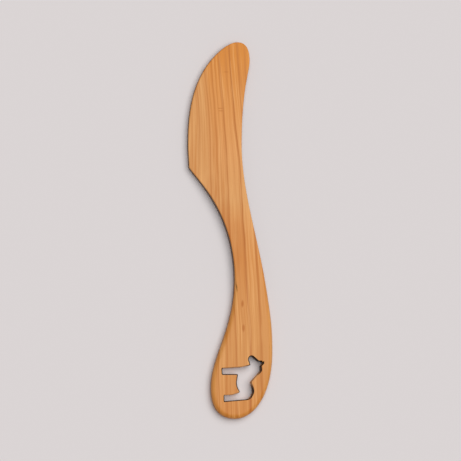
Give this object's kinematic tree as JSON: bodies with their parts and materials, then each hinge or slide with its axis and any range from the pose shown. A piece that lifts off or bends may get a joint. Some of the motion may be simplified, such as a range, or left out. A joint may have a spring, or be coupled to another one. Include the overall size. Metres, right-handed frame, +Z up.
{
  "type": "butter spreader",
  "caption": "Flat wooden butter spreader with a wide curved blade, a narrow neck and a bulb-shaped handle pierced by a traditional carved-horse silhouette.",
  "frame": {"origin": "middle of the bounding box, on the flat underside", "axes": "+Z up out of the face, +Y along the length towards the blade's tip, +X towards the straight side of the blade"},
  "size_m": [0.0408, 0.18, 0.005],
  "materials": {
    "wood": "oiled satin"
  },
  "bodies": {
    "root": {"spreader": "wood"}
  },
  "joints": []
}
